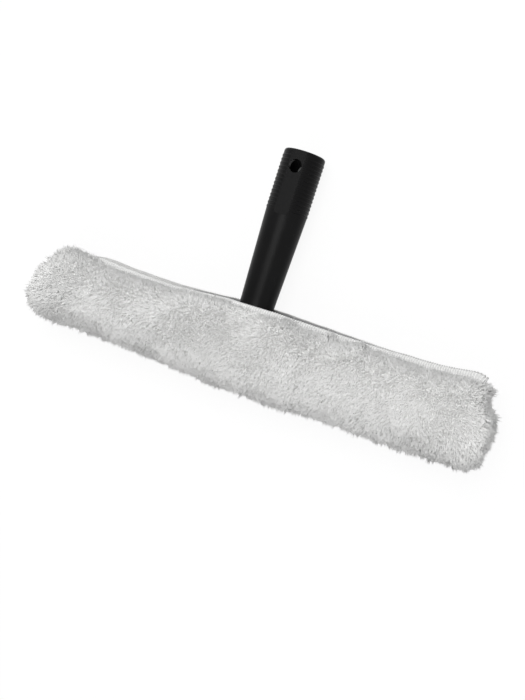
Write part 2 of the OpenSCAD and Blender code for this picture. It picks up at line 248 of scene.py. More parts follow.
def grid_normals(grid):
    """Outward normals of a grid of points whose rows run along x and whose columns run round."""
    along = np.gradient(grid, axis=0)
    around = np.gradient(grid, axis=1)
    found = np.cross(along, around)
    found /= np.maximum(np.linalg.norm(found, axis=2, keepdims=True), 1e-9)
    outward = grid - np.array([0, 0, MID_Z])
    outward[..., 0] = 0
    return found * np.sign((found * outward).sum(axis=2).mean())


def parting(point):
    """How deep, how near and on which side a point lies to the nearest parting of the pile."""
    best = (0.0, 0.0, 0.0)
    for line, width, depth in (list(zip(PARTINGS, PARTING_W, PARTING_IN))
                               + [(gap, GAP_W, GAP_IN) for gap in GAPS]):
        for (x0, z0), (x1, z1) in zip(line, line[1:]):
            run = Vector((x1 - x0, z1 - z0))
            off = Vector((point[0] - x0, point[2] - z0))
            along = max(0, min(1, off.dot(run) / run.length_squared))
            away = off - run * along
            near = math.exp(-(away.length / width) ** 2)
            if near * depth > best[0] and point[1] < 0:
                best = (near * depth, *(away.normalized() * near if away.length > 1e-6 else (0, 0)))
    return best


WIDE_LUMP, SMALL_LUMP = 17.0, 5.5   # how far across they are
WIDE_HIGH, SMALL_HIGH = 0.45, 0.12


def lumps(point):
    """Soft lumps of the pile, in mm: wide ones, and small clumps on them."""
    wide = noise.noise(Vector(point) / WIDE_LUMP)
    small = noise.noise(Vector(point) / SMALL_LUMP + Vector((7, 3, 1)))
    return WIDE_HIGH * wide + SMALL_HIGH * small


# Stretches from x to x where the front hem shows above the pile
BARE_HEM = [(-124, -57), (-15, 25), (35, 57), (65, 77), (87, 175)]
BARE_FADE = 4.0
# and how much longer the pile is where it covers that hem
OVER_HEM_X = [-156, -146, -129, -122, 22, 27, 33, 38, 54, 59, 63, 68, 74, 80, 84, 90]
OVER_HEM = [0.0, 0.55, 0.55, 0.0, 0.0, 0.5, 0.5, 0.0, 0.0, 0.5, 0.5, 0.0, 0.0, 0.5, 0.5, 0.0]


def hem_shows(x):
    """1 where the hem shows and 0 where the pile stands up over it."""
    return max(max(0.0, min(1.0, min(x - a, b - x) / BARE_FADE + 0.5)) for a, b in BARE_HEM)


# The pile leans in swirls, a little down and to the right, and up to the hems it covers
COMB_SEED = 3
noise.seed_set(COMB_SEED)
WIDE_SWIRL, SMALL_SWIRL = 24.0, 7.0
WIDE_LEAN, SMALL_LEAN = 0.4, 0.22
LEAN_RIGHT, LEAN_DOWN = 0.05, -0.3
TOP_Z, TOP_FADE = 16.0, 10.0
UP_BEHIND, UP_IN_FRONT = 0.9, 0.7
OVER_SEAM_X = 158.0   # from here to the ends the cloth's pile lies over their seams
OVER_SEAM_RUN = 8.0
OVER_SEAM = 0.5
PARTING_LEAN = 0.45
PARTING_SLOPE = 0.25


def drift(point):
    """Way in which the pile leans at a point: combed in wide swirls, with small locks in them."""
    wide = noise.noise_vector(Vector(point) / WIDE_SWIRL + Vector((3, 9, 5)))
    small = noise.noise_vector(Vector(point) / SMALL_SWIRL + Vector((1, 4, 8)))
    near_top = max(0.0, (point[2] - TOP_Z) / TOP_FADE)
    up = UP_BEHIND * near_top if point[1] > 0 else UP_IN_FRONT * near_top * (1 - hem_shows(point[0]))
    return WIDE_LEAN * wide + SMALL_LEAN * small + Vector((LEAN_RIGHT, 0, LEAN_DOWN + up))


def mesh_of(name, points, faces, smooth=True):
    made = bpy.data.meshes.new(name)
    made.from_pydata([at(*p) for p in points], [], faces)
    made.polygons.foreach_set("use_smooth", [smooth] * len(made.polygons))
    made.update()
    return made


def shown(name, mesh, material=None):
    made = bpy.data.objects.new(name, mesh)
    bpy.context.scene.collection.objects.link(made)
    if material:
        mesh.materials.clear()
        mesh.materials.append(material)
    return made


def keep_off_floor(mesh, least, thin):
    """What would reach under the floor lies on it instead, pressed to a share of its depth."""
    spots = np.empty(len(mesh.vertices) * 3, np.float32)
    mesh.vertices.foreach_get("co", spots)
    spots = spots.reshape(-1, 3)
    deep = spots[:, 2] < least
    spots[deep, 2] = np.maximum(least + (spots[deep, 2] - least) * thin, least * 0.25)
    mesh.vertices.foreach_set("co", spots.ravel())
    mesh.update()


def pile_map(mesh, points, normals, pile, length, gather):
    """Stores on a mesh where its pile grows, its length, how far it gathers in locks and its way."""
    comb, soft = [], []
    for p, n in zip(points, normals):
        _, away_x, away_z = parting(p)
        lean = drift(p) + PARTING_LEAN * Vector((away_x, 0, away_z))
        if abs(p[0]) > OVER_SEAM_X:
            lean.x += math.copysign(min(1, (abs(p[0]) - OVER_SEAM_X) / OVER_SEAM_RUN), p[0]) * OVER_SEAM
        n = Vector(n)
        valley = n - PARTING_SLOPE * Vector((away_x, 0, away_z))
        soft.append((ALONG * valley.x + BACK * valley.y + UP * valley.z).normalized())
        lean -= n * lean.dot(n)
        way = n + lean
        comb.append(ALONG * way.x + BACK * way.y + UP * way.z)
    for key, values in (("pile", pile), ("length", length), ("gather", gather)):
        mesh.attributes.new(key, "FLOAT", "POINT").data.foreach_set("value", values)
    for key, values in (("comb", comb), ("soft", soft)):
        mesh.attributes.new(key, "FLOAT_VECTOR", "POINT").data.foreach_set(
            "vector", np.array(values, np.float32).ravel())


# The cloth is a grid of rings along x, each from one hem round to the other. The pile is short near
# both hems, and gathers in locks at the sleeve's lower edge
RINGS, STEPS = 231, 120
EDGE_SHARE = 0.055
FRONT_REACH, COVER_REACH, BACK_REACH, KNOB_REACH = 0.55, 1.5, 0.9, 2   # in runs of EDGE_SHARE
COVER_SHORT = 0.7
BACK_LONG_X = [-150, -60, -45, 100]
BACK_LONG = [0.9, 0.84, 0.62, 0.66]
LOCKS_AT, LOCKS_WIDE = 262, 34
LOCKS_LEAST = 0.25
KNOB_X, KNOB_W, KNOB_LONG = -154, 8, 0.35   # a tuft stands up at the upper left corner
CLOTH_LEAST = 0.0016
CLOTH_THIN = 0.1
xs = np.linspace(-HALF_CLOTH, HALF_CLOTH, RINGS)
turns = 90 + 360 * np.linspace(0, 1, STEPS)
outer = np.array([[skin(x, a, 1 - DEPTH_DRAW * abs(x / HALF_CLOTH) ** 8,
                        1 - HEIGHT_DRAW * abs(x / HALF_CLOTH) ** 12, hem_y(x) + HEM_T, 1)
                   for a in turns] for x in xs])
normals = grid_normals(outer)
edge_run = np.minimum(np.linspace(0, 1, STEPS), np.linspace(1, 0, STEPS)) / EDGE_SHARE
near_edge = np.clip(1 - edge_run, 0, 1) ** 1.5
inset = ROOTS_IN + (EDGE_IN - ROOTS_IN) * near_edge[None, :] * np.ones((RINGS, 1))
for i in range(RINGS):
    for j in range(STEPS):
        inset[i, j] += parting(outer[i, j])[0] - lumps(outer[i, j]) * (1 - near_edge[j])
roots = outer - normals * inset[..., None]
inside = roots - normals * CLOTH_T
points = [tuple(p) for p in roots.reshape(-1, 3)] + [tuple(p) for p in inside.reshape(-1, 3)]
count = RINGS * STEPS
faces = [(i * STEPS + j, i * STEPS + j + 1, (i + 1) * STEPS + j + 1, (i + 1) * STEPS + j)
         for i in range(RINGS - 1) for j in range(STEPS - 1)]
faces += [tuple(count + v for v in reversed(f)) for f in faces]
for i in range(RINGS - 1):
    for j in (0, STEPS - 1):
        rim = (i * STEPS + j, (i + 1) * STEPS + j, count + (i + 1) * STEPS + j, count + i * STEPS + j)
        faces.append(rim if j == 0 else tuple(reversed(rim)))
for j in range(STEPS - 1):
    for i in (0, RINGS - 1):
        row = i * STEPS + j
        rim = (row, row + 1, count + row + 1, count + row)
        faces.append(tuple(reversed(rim)) if i == 0 else rim)
cloth_mesh = mesh_of("sleeve_cloth_body", points, faces)
grows = np.clip(edge_run, 0.0, 1)[None, :] * np.ones((RINGS, 1))
covers = np.array([1 - COVER_SHORT * hem_shows(x) for x in xs])
in_front = np.arange(STEPS) < STEPS / 2
long_by = 1 - (1 - covers[:, None]) * (np.clip(1 - edge_run / FRONT_REACH, 0, 1) * in_front)[None, :]
back_long = np.interp(xs, BACK_LONG_X, BACK_LONG)
long_by *= 1 - (1 - back_long[:, None]) * (np.clip(1 - edge_run / BACK_REACH, 0, 1) * ~in_front)[None, :]
low_side = np.exp(-((turns - LOCKS_AT) / LOCKS_WIDE) ** 2)
gathered = LOCKS_LEAST + (1 - LOCKS_LEAST) * low_side[None, :] * np.ones((RINGS, 1))
knob = KNOB_LONG * np.exp(-((xs[:, None] - KNOB_X) / KNOB_W) ** 2)
long_by *= 1 + knob * np.clip(1 - edge_run / KNOB_REACH, 0, 1)[None, :]
over_hem = np.interp(xs, OVER_HEM_X, OVER_HEM)
long_by *= 1 + over_hem[:, None] * (np.clip(1 - edge_run / COVER_REACH, 0, 1) * in_front)[None, :]


def both(values, other):
    """Values of the outer layer's points, with one value for all of the inner layer."""
    return np.concatenate([values.ravel(), np.full(count, other)])


pile_map(cloth_mesh, points, np.concatenate([normals.reshape(-1, 3)] * 2),
         both(np.where(grows > 0.02, 1.0, 0.0), 0.0), both(long_by, 1.0), both(gathered, 1.0))
keep_off_floor(cloth_mesh, CLOTH_LEAST, CLOTH_THIN)
# The roots are painted darker than the white hairs: painted shade for the gaps and partings between the
# tufts
pile_roots_painted_shade = finish("pile_roots_painted_shade", (0.66, 0.66, 0.65), (0.73, 0.73, 0.72), (0.88, 0.97),
                    0.004, 0.0008, 0.0005, Sheen_Weight=0.3, Sheen_Roughness=0.5)
sleeve_cloth = shown("sleeve_cloth_body", cloth_mesh, pile_roots_painted_shade)
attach(sleeve_cloth, "root")
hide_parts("sleeve_cloth")


# Sleeve ends
# Each end is a small oval panel of the same pile cloth, sewn in round its edge, so that a crease
# runs round the sleeve where the seam draws both cloths in.
END_STEP = 0.01    # each is smaller than the cloth round it by this share
END_T = 3.5
END_SLOPE = 75     # how steep the dome gets before its flat middle, in degrees
END_DOME, END_CAP = 22, 11
END_LUMPS = 0.8
END_GATHER = 0.85
end_bodies = {}
for label, side in (("left", -1), ("right", 1)):
    slopes = np.radians(np.linspace(0, END_SLOPE, END_DOME))
    ring_turns = 90 + 360 * np.linspace(0, 1, STEPS + 1)[:-1]
    dome = []
    for s in slopes:
        x = side * (HALF_CLOTH + END_GAP + END_LEN * math.sin(s) / math.sin(slopes[-1]))
        round_in = math.cos(s) ** 0.55
        dome.append([skin(x, a, (1 - DEPTH_DRAW - END_STEP) * round_in,
                          (1 - HEIGHT_DRAW - END_STEP) * round_in, CLOSED_Y + HEM_T, 0)
                     for a in ring_turns])
    dome = np.array(dome)
    core = dome[-1].mean(axis=0)
    cap = np.array([core + (dome[-1] - core) * share for share in np.linspace(1, 0.06, END_CAP)[1:]])
    whole = np.concatenate([dome, cap], axis=0)
    rows = len(whole)
    closed = np.concatenate([whole[:, -1:], whole, whole[:, :1]], axis=1)
    out = np.cross(np.gradient(closed, axis=0), np.gradient(closed, axis=1))[:, 1:-1]
    out /= np.maximum(np.linalg.norm(out, axis=2, keepdims=True), 1e-9)
    centre = whole.mean(axis=(0, 1)) - np.array([side * 20, 0, 0])
    out *= np.sign((out * (whole - centre)).sum(axis=2, keepdims=True))
    ease = np.concatenate([np.linspace(0.95, 1, len(dome)), np.full(len(cap), 0.9)])
    spots = np.array([[p - n * (ROOTS_IN * e - END_LUMPS * lumps(p)) for p, n in zip(pr, nr)]
                      for pr, nr, e in zip(whole, out, ease)])
    inner = spots - out * END_T
    count = rows * STEPS
    points = [tuple(p) for p in np.concatenate([spots.reshape(-1, 3), inner.reshape(-1, 3)])]
    points += [tuple(spots[-1].mean(axis=0)), tuple(inner[-1].mean(axis=0))]
    faces = []
    for i in range(rows - 1):
        for j in range(STEPS):
            k = (j + 1) % STEPS
            face = (i * STEPS + j, i * STEPS + k, (i + 1) * STEPS + k, (i + 1) * STEPS + j)
            faces += [face, tuple(count + v for v in reversed(face))]
    last = count - STEPS
    for j in range(STEPS):
        k = (j + 1) % STEPS
        faces += [(last + j, last + k, 2 * count), (count + last + k, count + last + j, 2 * count + 1),
                  (k, j, count + j, count + k)]
    if side < 0:
        faces = [tuple(reversed(f)) for f in faces]
    end_mesh = mesh_of(f"sleeve_end_{label}_body", points, faces)
    all_normals = np.concatenate([out.reshape(-1, 3)] * 2 + [[[side, 0, 0]]] * 2)
    pile_map(end_mesh, points, all_normals,
             np.concatenate([np.ones(count), np.zeros(count), [1, 0]]), np.ones(len(points)),
             np.full(len(points), END_GATHER))
    keep_off_floor(end_mesh, CLOTH_LEAST, CLOTH_THIN)
    body = shown(f"sleeve_end_{label}_body", end_mesh, pile_roots_painted_shade)
    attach(body, "root")
    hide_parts(f"sleeve_end_{label}")
    end_bodies[label] = body


# Pile
# Soft white acrylic pile in tufts of a few curled hairs. They lie over one another in swirls, and
# stand out as a fringe along the lower edge and round both ends.
HAIR_L = 0.0059
HAIR_R = 0.00024
HAIRS = 6
HAIR_LEAN, HAIR_CURL = 0.12, 0.2
KNEE = 0.6          # a hair bends at this share of its length
POINTED = 170       # how strongly a lock's hairs come together
ROOT_DEEP = 0.0012
TUFT_SPREAD = 0.0012
TUFT_GAP = 0.00115
KINDS = 6
BANDS = 8
SOFT_SHARE = 0.95   # how far the hairs take the light as the cloth's surface would
LOCK_GAP = 0.0034   # the tufts gather in pointed locks of about this width
LOCK_LONG = 0.68    # the longest locks are longer than the rest by this share
LOCK_SHORT = 0.94
LOCK_FEW = 3.2      # the higher this is, the fewer locks are long
RUFFLE = 0.16
LOOSE = 1.15
MOST_TUFTS = 9e5    # on a square metre
PILE_SEED, END_SEED = 4, 9
PILE_LEAST = 0.0009
PILE_THIN = 0.12


def tuft(seed):
    """A tuft: curled hairs with three sides, pointed, closed at the root."""
    pick = random.Random(seed)
    points, faces = [], []
    for _ in range(HAIRS):
        turn, far = pick.uniform(0, 2 * math.pi), TUFT_SPREAD * math.sqrt(pick.random())
        root = Vector((far * math.cos(turn), far * math.sin(turn), -ROOT_DEEP))
        way = Vector((pick.gauss(0, HAIR_LEAN), pick.gauss(0, HAIR_LEAN), 1)).normalized()
        curl = Vector((pick.gauss(0, HAIR_CURL), pick.gauss(0, HAIR_CURL), -0.1))
        if seed % 3:   # the hairs of most kinds come together in a pointed lock
            curl = Vector((-root.x, -root.y, 0)) * POINTED
        length = HAIR_L * pick.uniform(0.75, 1.1)
        knee = root + way * length * KNEE
        end = knee + (way + curl).normalized() * length * (1 - KNEE)
        first = len(points)
        for spot, ahead in ((root, way), (knee, way + curl / 2)):
            side = ahead.cross(Vector((1, 0.3, 0))).normalized()
            other = ahead.normalized().cross(side)
            for n in range(3):
                a = 2 * math.pi * n / 3
                points.append(spot + (side * math.cos(a) + other * math.sin(a)) * HAIR_R)
        points.append(end)
        for n in range(3):
            m = (n + 1) % 3
            faces += [(first + n, first + m, first + 3 + m, first + 3 + n),
                      (first + 3 + n, first + 3 + m, first + 6)]
        faces.append((first + 2, first + 1, first))
    made = bpy.data.meshes.new(f"tuft_{seed}")
    made.from_pydata(points, [], faces)
    made.polygons.foreach_set("use_smooth", [True] * len(made.polygons))
    return made


def new_tree(name, sockets):
    """Empty geometry tree with named inputs. Gives the tree and its input's outputs."""
    tree = bpy.data.node_groups.new(name, "GeometryNodeTree")
    tree.interface.new_socket("Geometry", in_out="INPUT", socket_type="NodeSocketGeometry")
    for label, kind, value in sockets:
        made = tree.interface.new_socket(label, in_out="INPUT", socket_type="NodeSocket" + kind)
        if value is not None:
            made.default_value = value
    tree.interface.new_socket("Geometry", in_out="OUTPUT", socket_type="NodeSocketGeometry")
    return tree, tree.nodes.new("NodeGroupInput").outputs


def end_tree(tree, geometry, material):
    """Ends a tree in Realize Instances and Set Material."""
    real = add(tree, "GeometryNodeRealizeInstances", {"Geometry": geometry})
    painted = add(tree, "GeometryNodeSetMaterial", {"Geometry": real.outputs[0], "Material": material})
    last = tree.nodes.new("NodeGroupOutput")
    tree.links.new(painted.outputs[0], last.inputs[0])


def grow(name, source, tree, values):
    """Plain mesh that a tree makes of a source mesh, with these values in its named inputs."""
    made = shown(name, source)
    modifier = made.modifiers.new("grow", "NODES")
    modifier.node_group = tree
    for item in tree.interface.items_tree:
        if item.in_out == "INPUT" and item.name in values:
            modifier[item.identifier] = values[item.name]
    seen = made.evaluated_get(bpy.context.evaluated_depsgraph_get())
    result = bpy.data.meshes.new_from_object(seen)
    made.modifiers.clear()
    made.data = result
    result.name = name
    stand = result.attributes.get("stand")
    if stand:   # pile takes the light as one soft surface, so its hairs lean on the cloth's normals
        soft, own = np.empty((2, len(result.vertices) * 3), np.float32)
        stand.data.foreach_get("vector", soft)
        result.vertices.foreach_get("normal", own)
        mixed = SOFT_SHARE * soft.reshape(-1, 3) + (1 - SOFT_SHARE) * own.reshape(-1, 3)
        mixed /= np.maximum(np.linalg.norm(mixed, axis=1, keepdims=True), 1e-6)
        result.normals_split_custom_set_from_vertices(mixed.tolist())
    for key in ("pile", "length", "comb", "soft", "gather", "stand"):
        if key in result.attributes:
            result.attributes.remove(result.attributes[key])
    return made


tufts = bpy.data.collections.new("tufts")
for kind in range(KINDS):
    tufts.objects.link(bpy.data.objects.new(f"tuft_{kind}", tuft(11 + kind)))

pile_white = finish("pile_white", (0.90, 0.90, 0.89), (0.96, 0.96, 0.95), (0.82, 0.94),
                    0.006, 0.0006, 0.0001, Sheen_Weight=0.25, Sheen_Roughness=0.5)

pile_tree, given = new_tree("pile", [
    ("Tufts", "Collection", tufts), ("Gap", "Float", TUFT_GAP), ("Lock Gap", "Float", LOCK_GAP),
    ("From", "Float", -1.0), ("To", "Float", 1.0), ("Seed", "Int", PILE_SEED)])
scattered = add(pile_tree, "GeometryNodeDistributePointsOnFaces", {
    "Mesh": given["Geometry"], "Distance Min": given["Gap"], "Density Max": MOST_TUFTS,
    "Density Factor": add(pile_tree, "GeometryNodeInputNamedAttribute", {"Name": "pile"}).outputs[0],
    "Seed": given["Seed"]}, distribute_method="POISSON")
surface = add(pile_tree, "GeometryNodeInputNamedAttribute", {"Name": "soft"}, data_type="FLOAT_VECTOR")
marked = add(pile_tree, "GeometryNodeStoreNamedAttribute", {
    "Geometry": scattered.outputs["Points"], "Name": "stand", "Value": surface.outputs[0]},
    data_type="FLOAT_VECTOR", domain="POINT")
spot = add(pile_tree, "GeometryNodeInputPosition").outputs[0]
place = add(pile_tree, "ShaderNodeSeparateXYZ", {0: spot})
past = add(pile_tree, "ShaderNodeMath", {0: place.outputs[0], 1: given["From"]},
           operation="GREATER_THAN")
short_of = add(pile_tree, "ShaderNodeMath", {0: place.outputs[0], 1: given["To"]},
               operation="LESS_THAN")
within = add(pile_tree, "ShaderNodeMath", {0: past.outputs[0], 1: short_of.outputs[0]},
             operation="MULTIPLY")
spin = add(pile_tree, "FunctionNodeRandomValue", {2: 0.0, 3: 2 * math.pi, "Seed": 3})
stood = add(pile_tree, "FunctionNodeEulerToRotation",
            {0: add(pile_tree, "ShaderNodeCombineXYZ", {2: spin.outputs[1]}).outputs[0]})
per_metre = add(pile_tree, "ShaderNodeMath", {0: 1.0, 1: given["Lock Gap"]}, operation="DIVIDE")
locks = add(pile_tree, "ShaderNodeTexVoronoi", {"Vector": spot, "Scale": per_metre.outputs[0]})
to_lock = add(pile_tree, "ShaderNodeVectorMath", {0: locks.outputs["Position"], 1: spot},
              operation="SUBTRACT")
gather = add(pile_tree, "GeometryNodeInputNamedAttribute", {"Name": "gather"})
pull = add(pile_tree, "ShaderNodeMath", {0: gather.outputs[0], 1: 1 / HAIR_L}, operation="MULTIPLY")
drawn = add(pile_tree, "ShaderNodeVectorMath", {0: to_lock.outputs[0], "Scale": pull.outputs[0]},
            operation="SCALE")
combed = add(pile_tree, "GeometryNodeInputNamedAttribute", {"Name": "comb"}, data_type="FLOAT_VECTOR")
comb = add(pile_tree, "ShaderNodeVectorMath", {0: combed.outputs[0], 1: drawn.outputs[0]})
ruffle = add(pile_tree, "FunctionNodeRandomValue", {0: (-RUFFLE,) * 3, 1: (RUFFLE,) * 3, "Seed": 8},
             data_type="FLOAT_VECTOR")
loose = add(pile_tree, "ShaderNodeMath", {0: LOOSE, 1: gather.outputs[0]}, operation="SUBTRACT")
ruffled = add(pile_tree, "ShaderNodeVectorMath", {0: ruffle.outputs[0], "Scale": loose.outputs[0]},
              operation="SCALE")
way = add(pile_tree, "ShaderNodeVectorMath", {0: comb.outputs[0], 1: ruffled.outputs[0]})
turned = add(pile_tree, "FunctionNodeAlignRotationToVector",
             {"Rotation": stood.outputs[0], "Vector": way.outputs[0]}, axis="Z")
length = add(pile_tree, "GeometryNodeInputNamedAttribute", {"Name": "length"})
chance = add(pile_tree, "ShaderNodeSeparateXYZ", {0: locks.outputs["Color"]})
few = add(pile_tree, "ShaderNodeMath", {0: chance.outputs[0], 1: LOCK_FEW}, operation="POWER")
apart = add(pile_tree, "ShaderNodeMath", {0: few.outputs[0], 1: gather.outputs[0]},
            operation="MULTIPLY")
by_lock = add(pile_tree, "ShaderNodeMapRange", {
    "Value": apart.outputs[0], "To Min": LOCK_SHORT, "To Max": LOCK_SHORT + LOCK_LONG})
vary = add(pile_tree, "FunctionNodeRandomValue", {2: 0.88, 3: 1.08, "Seed": 5})
long_as = add(pile_tree, "ShaderNodeMath", {0: length.outputs[0], 1: vary.outputs[1]},
              operation="MULTIPLY")
size = add(pile_tree, "ShaderNodeMath", {0: long_as.outputs[0], 1: by_lock.outputs[0]},
           operation="MULTIPLY")
choice = add(pile_tree, "GeometryNodeCollectionInfo",
             {"Collection": given["Tufts"], "Separate Children": True, "Reset Children": True})
planted = add(pile_tree, "GeometryNodeInstanceOnPoints", {
    "Points": marked.outputs[0], "Selection": within.outputs[0],
    "Instance": choice.outputs[0], "Pick Instance": True,
    "Instance Index": add(pile_tree, "FunctionNodeRandomValue", {4: 0, 5: KINDS - 1, "Seed": 6},
                          data_type="INT").outputs[2],
    "Rotation": turned.outputs[0], "Scale": size.outputs[0]})
end_tree(pile_tree, planted.outputs[0], pile_white)

pile_pieces = []
for band in range(BANDS):
    low = -HALF_CLOTH + 2 * HALF_CLOTH * band / BANDS
    high = low + 2 * HALF_CLOTH / BANDS
    made = grow(f"pile_{band + 1}", cloth_mesh.copy(), pile_tree, {
        "Tufts": tufts, "Gap": TUFT_GAP, "Lock Gap": LOCK_GAP, "Seed": PILE_SEED,
        "From": -1.0 if band == 0 else low / 1000, "To": 1.0 if band == BANDS - 1 else high / 1000})
    pile_pieces.append(made)
for label, body in end_bodies.items():
    pile_pieces.append(grow(f"pile_end_{label}", body.data.copy(), pile_tree, {
        "Tufts": tufts, "Gap": TUFT_GAP, "Lock Gap": LOCK_GAP, "Seed": END_SEED,
        "From": -1.0, "To": 1.0}))
for made in pile_pieces:
    keep_off_floor(made.data, PILE_LEAST, PILE_THIN)
    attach(made, "root")


# Hem tapes
# A white overlocked tape closes each long edge of the cloth. It is a soft band, a little wavy,
# and the close slanting threads of the overlock run over its front, its top and its back.
HEM_LOW = 25.45
HEM_H = 5.6
HALF_HEM = 167.0
HEM_BEND = 162.0   # right of here the tapes bend down
HEM_DOWN = 1.6     # by this at their end
HEM_LEFT = -166.0  # the left end of the tapes is hidden under the pile
SINK_X = -124.0    # and they sink into it left of here
SINK_RUN = 12.0
SINK = 2.4
HEM_WAVE = 0.35
HEM_RINGS = 230
THREAD_GAP = 1.7
THREAD_R = 0.42
THREAD_SLANT = 0.55
THREAD_OFF = 0.05
# The back hem stands higher than the front one by a share of this, and the front one lower by the rest
BACK_UP_X = [-140, -110, -60, -40, 0, 60, 92, 120, 171]
BACK_UP_Z = [1.0, 2.2, 2.0, 1.6, 1.6, 1.6, 1.0, 0.7, 0.7]
BACK_SHARE = 0.3


def hem_line(side, x):
    """Middle of the tape's foot at x, bent down at its right end and sunk at its left, in mm."""
    wave = HEM_WAVE * noise.noise(Vector((x / 12, side * 5, 0)))
    high = float(np.interp(x, BACK_UP_X, BACK_UP_Z)) * (BACK_SHARE if side > 0 else BACK_SHARE - 1)
    bend = HEM_DOWN * (max(0.0, x - HEM_BEND) / (HALF_HEM - HEM_BEND)) ** 2
    sunk = SINK * max(0.0, min(1.0, (SINK_X - x) / SINK_RUN))
    return settle(x, side * (hem_y(x) + HEM_T / 2) + wave * 0.3, HEM_LOW + wave + high - bend - sunk)


def band_mesh(name, side):
    """Rounded band along the hem line."""
    corners = [(math.cos(math.radians(a)), math.sin(math.radians(a))) for a in range(0, 360, 30)]
    section = [(0.5 * HEM_T * math.copysign(abs(c) ** 0.5, c),
                0.5 * HEM_H * (1 + math.copysign(abs(s) ** 0.55, s))) for c, s in corners]
    steps = np.linspace(HEM_LEFT, HALF_HEM, HEM_RINGS)
    points, faces = [], []
    for x in steps:
        base = hem_line(side, x)
        points += [(base[0], base[1] + y * 0.92, base[2] + z) for y, z in section]
    n = len(section)
    for i in range(len(steps) - 1):
        for j in range(n):
            k = (j + 1) % n
            faces.append((i * n + j, (i + 1) * n + j, (i + 1) * n + k, i * n + k))
    faces.append(tuple(range(n)))
    faces.append(tuple(reversed(range((len(steps) - 1) * n, len(steps) * n))))
    return mesh_of(name, points, faces)


def thread_mesh():
    """One overlock thread: a slanting hoop over the tape, in metres, with its foot at the origin."""
    path = []
    for a in range(-30, 211, 20):
        c, s = math.cos(math.radians(a)), math.sin(math.radians(a))
        path.append(Vector((THREAD_SLANT * c, (0.5 * HEM_T + THREAD_OFF) * math.copysign(abs(c) ** 0.5, c),
                            0.5 * HEM_H * (1 + math.copysign(abs(s) ** 0.55, s)) + THREAD_OFF)))
    points, faces, n = [], [], 5
    for i, spot in enumerate(path):
        ahead = (path[min(i + 1, len(path) - 1)] - path[max(i - 1, 0)]).normalized()
        side = ahead.cross(Vector((1, 0, 0))).normalized()
        other = ahead.cross(side)
        for j in range(n):
            a = 2 * math.pi * j / n
            points.append((spot + (side * math.cos(a) + other * math.sin(a)) * THREAD_R) / 1000)
    for i in range(len(path) - 1):
        for j in range(n):
            k = (j + 1) % n
            faces.append((i * n + j, i * n + k, (i + 1) * n + k, (i + 1) * n + j))
    faces.append(tuple(reversed(range(n))))
    faces.append(tuple(range((len(path) - 1) * n, len(path) * n)))
    made = bpy.data.meshes.new("thread")
    made.from_pydata(points, [], faces)
    made.polygons.foreach_set("use_smooth", [True] * len(made.polygons))
    return made


hem_white = finish("hem_white", (0.60, 0.60, 0.595), (0.68, 0.68, 0.675), (0.75, 0.88),
                   0.004, 0.0005, 0.0002, Sheen_Weight=0.15, Sheen_Roughness=0.5)
thread_white = finish("thread_white", (0.77, 0.77, 0.765), (0.83, 0.83, 0.825), (0.6, 0.75),
                      0.003, 0.0003, 0.0001, Sheen_Weight=0.15, Sheen_Roughness=0.5)
# A darker copy of the tape's white for the back tape and its threads: painted shade, because the back tape
# lies in shade behind the front hem
hem_painted_shade = finish("hem_painted_shade", (0.50, 0.50, 0.495), (0.58, 0.58, 0.575), (0.75, 0.88),
                  0.004, 0.0005, 0.0002, Sheen_Weight=0.15, Sheen_Roughness=0.5)
thread_tree, given = new_tree("overlock", [
    ("Thread", "Object", None), ("Gap", "Float", THREAD_GAP / 1000), ("Turn", "Vector", (0, 0, 0)),
    ("Cover", "Material", None)])
line = add(thread_tree, "GeometryNodeMeshToCurve", {"Mesh": given["Geometry"]})
spaced = add(thread_tree, "GeometryNodeCurveToPoints",
             {"Curve": line.outputs[0], "Length": given["Gap"]}, mode="LENGTH")
laid = add(thread_tree, "FunctionNodeEulerToRotation", {0: given["Turn"]})
facing = add(thread_tree, "FunctionNodeAlignRotationToVector", {
    "Rotation": laid.outputs[0], "Vector": spaced.outputs["Tangent"]}, axis="X")
hoop = add(thread_tree, "GeometryNodeObjectInfo", {"Object": given["Thread"]})
copied = add(thread_tree, "GeometryNodeInstanceOnPoints", {
    "Points": spaced.outputs["Points"], "Rotation": facing.outputs[0],
    "Instance": hoop.outputs["Geometry"]})
end_tree(thread_tree, copied.outputs[0], given["Cover"])
thread = bpy.data.objects.new("thread", thread_mesh())
tool_turn = Matrix((ALONG, BACK, UP)).transposed().to_euler()
for label, side, tape, over in (("front", -1, hem_white, thread_white),
                                ("back", 1, hem_painted_shade, hem_painted_shade)):
    band = shown(f"hem_tape_{label}_band", band_mesh(f"hem_tape_{label}_band", side), tape)
    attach(band, "root")
    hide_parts(f"hem_tape_{label}")
    rail = bpy.data.meshes.new("hem_line")
    spots = [at(*hem_line(side, x)) for x in np.linspace(HEM_LEFT + 1, HALF_HEM - 1, 260)]
    rail.from_pydata(spots, [(i, i + 1) for i in range(len(spots) - 1)], [])
    overlock = grow(f"hem_overlock_{label}", rail, thread_tree,
                    {"Thread": thread, "Gap": THREAD_GAP / 1000, "Turn": list(tool_turn), "Cover": over})
    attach(overlock, "root")
